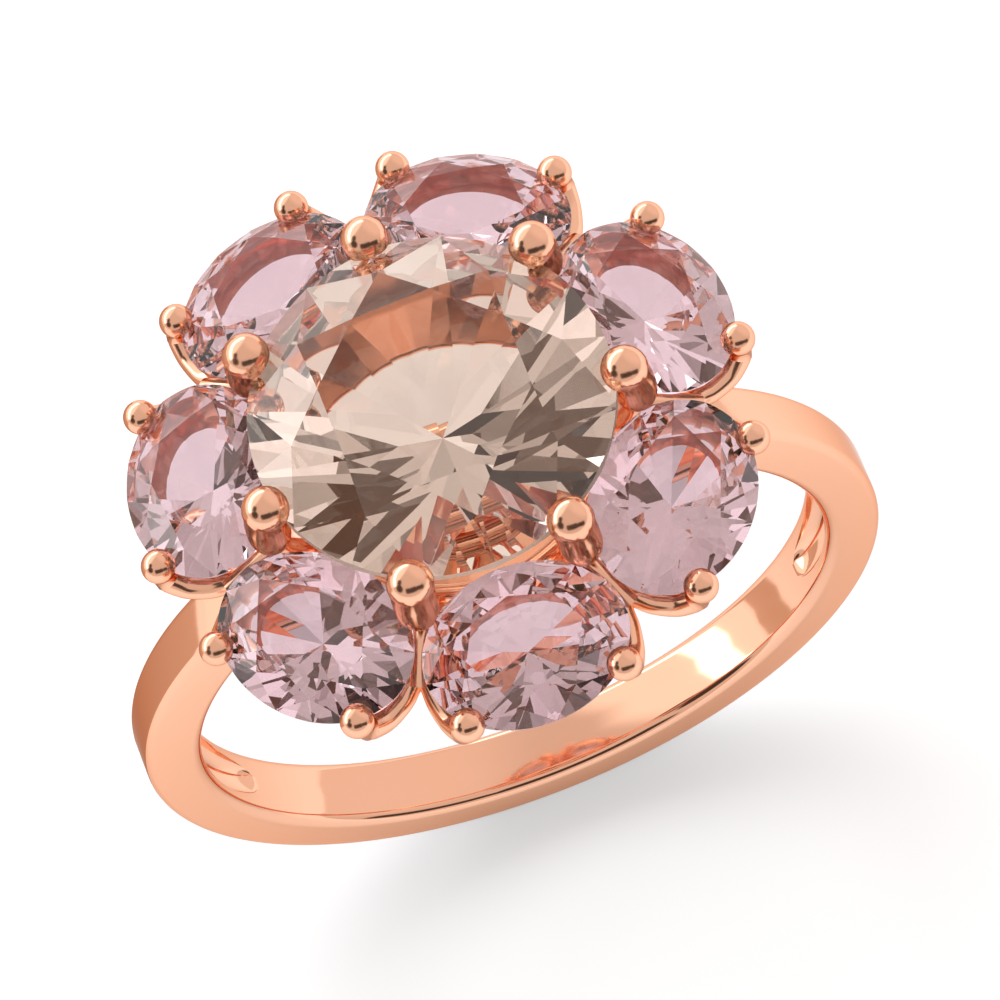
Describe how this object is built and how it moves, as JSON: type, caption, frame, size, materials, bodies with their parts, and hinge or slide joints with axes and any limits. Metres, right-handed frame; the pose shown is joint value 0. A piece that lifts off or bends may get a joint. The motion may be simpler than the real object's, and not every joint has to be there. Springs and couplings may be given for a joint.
{
  "type": "cocktail ring",
  "caption": "Cocktail ring: a large round faceted stone in claws, ringed by oval side stones in open claw settings, on a slim flat-sided band.",
  "frame": {"origin": "centre of the finger hole, midway along its length", "axes": "+Y along the finger, +Z from the finger up to the centre stone, X across the finger from shoulder to shoulder"},
  "size_m": [0.0202, 0.0161, 0.0248],
  "materials": {
    "rose_gold": "polished rose gold alloy",
    "peach_gem": "polished facets, clear pale peach stone",
    "pink_gem": "polished facets, clear pale pink stone"
  },
  "bodies": {
    "root": {"shank": "rose_gold", "base_rail": "rose_gold", "gallery_rail": "rose_gold", "centre_claw_1": "rose_gold", "centre_claw_2": "rose_gold", "centre_claw_3": "rose_gold", "centre_claw_4": "rose_gold", "centre_claw_5": "rose_gold", "centre_claw_6": "rose_gold", "centre_claw_7": "rose_gold", "side_arm_1": "rose_gold", "side_arm_2": "rose_gold", "side_arm_3": "rose_gold", "side_arm_4": "rose_gold", "side_arm_5": "rose_gold", "side_arm_6": "rose_gold", "side_arm_7": "rose_gold", "side_claw_1a": "rose_gold", "side_claw_1b": "rose_gold", "side_claw_2a": "rose_gold", "side_claw_2b": "rose_gold", "side_claw_3a": "rose_gold", "side_claw_3b": "rose_gold", "side_claw_4a": "rose_gold", "side_claw_4b": "rose_gold", "side_claw_5a": "rose_gold", "side_claw_5b": "rose_gold", "side_claw_6a": "rose_gold", "side_claw_6b": "rose_gold", "side_claw_7a": "rose_gold", "side_claw_7b": "rose_gold", "side_seat_1": "rose_gold", "side_seat_2": "rose_gold", "side_seat_3": "rose_gold", "side_seat_4": "rose_gold", "side_seat_5": "rose_gold", "side_seat_6": "rose_gold", "side_seat_7": "rose_gold", "centre_stone": "peach_gem", "side_stone_1": "pink_gem", "side_stone_2": "pink_gem", "side_stone_3": "pink_gem", "side_stone_4": "pink_gem", "side_stone_5": "pink_gem", "side_stone_6": "pink_gem", "side_stone_7": "pink_gem"}
  },
  "joints": []
}
